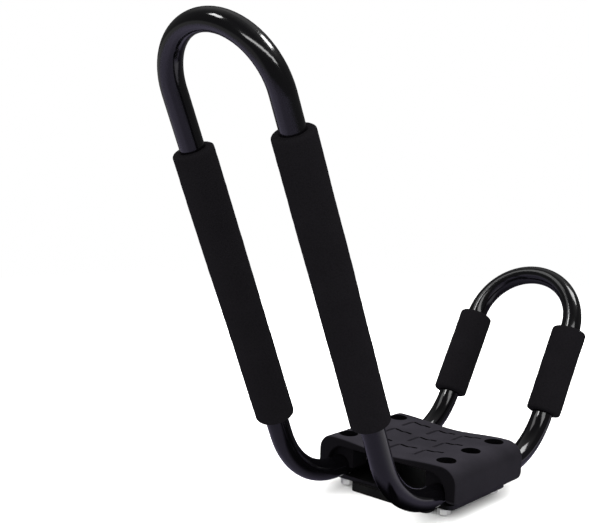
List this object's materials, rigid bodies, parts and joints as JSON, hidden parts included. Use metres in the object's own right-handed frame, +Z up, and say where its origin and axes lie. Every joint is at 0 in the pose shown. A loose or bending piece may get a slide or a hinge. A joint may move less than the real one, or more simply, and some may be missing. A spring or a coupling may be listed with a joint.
{
  "type": "j style kayak carrier",
  "caption": "J-shaped roof-rack kayak carrier: tall and short bent-tube hoops with foam sleeves rise from a moulded, dished base that bolts over a crossbar.",
  "frame": {"origin": "middle of the underside of the crossbar pad, level with the lower ends of the bolts", "axes": "+X along the crossbar from the tall hoop to the short hoop, +Y towards the left legs, +Z up"},
  "size_m": [0.6489, 0.194, 0.5335],
  "materials": {
    "tube_paint": "gloss",
    "foam": "matte",
    "cover_plastic": "matte",
    "plate_paint": "satin",
    "pad_rubber": "matte",
    "zinc": "satin"
  },
  "bodies": {
    "root": {"tall_hoop": "tube_paint", "short_hoop": "tube_paint", "tall_sleeve_left": "foam", "tall_sleeve_right": "foam", "short_sleeve_left": "foam", "short_sleeve_right": "foam", "base_cover": "cover_plastic", "base_plate": "plate_paint", "crossbar_pad": "pad_rubber", "bolt_near_right": "zinc", "bolt_near_left": "zinc", "bolt_far_right": "zinc", "bolt_far_left": "zinc", "nut_near_right": "zinc", "nut_near_left": "zinc", "nut_far_right": "zinc", "nut_far_left": "zinc", "washer_head_near_right": "zinc", "washer_head_near_left": "zinc", "washer_head_far_right": "zinc", "washer_head_far_left": "zinc", "washer_plate_near_right": "zinc", "washer_plate_near_left": "zinc", "washer_plate_far_right": "zinc", "washer_plate_far_left": "zinc"}
  },
  "joints": []
}
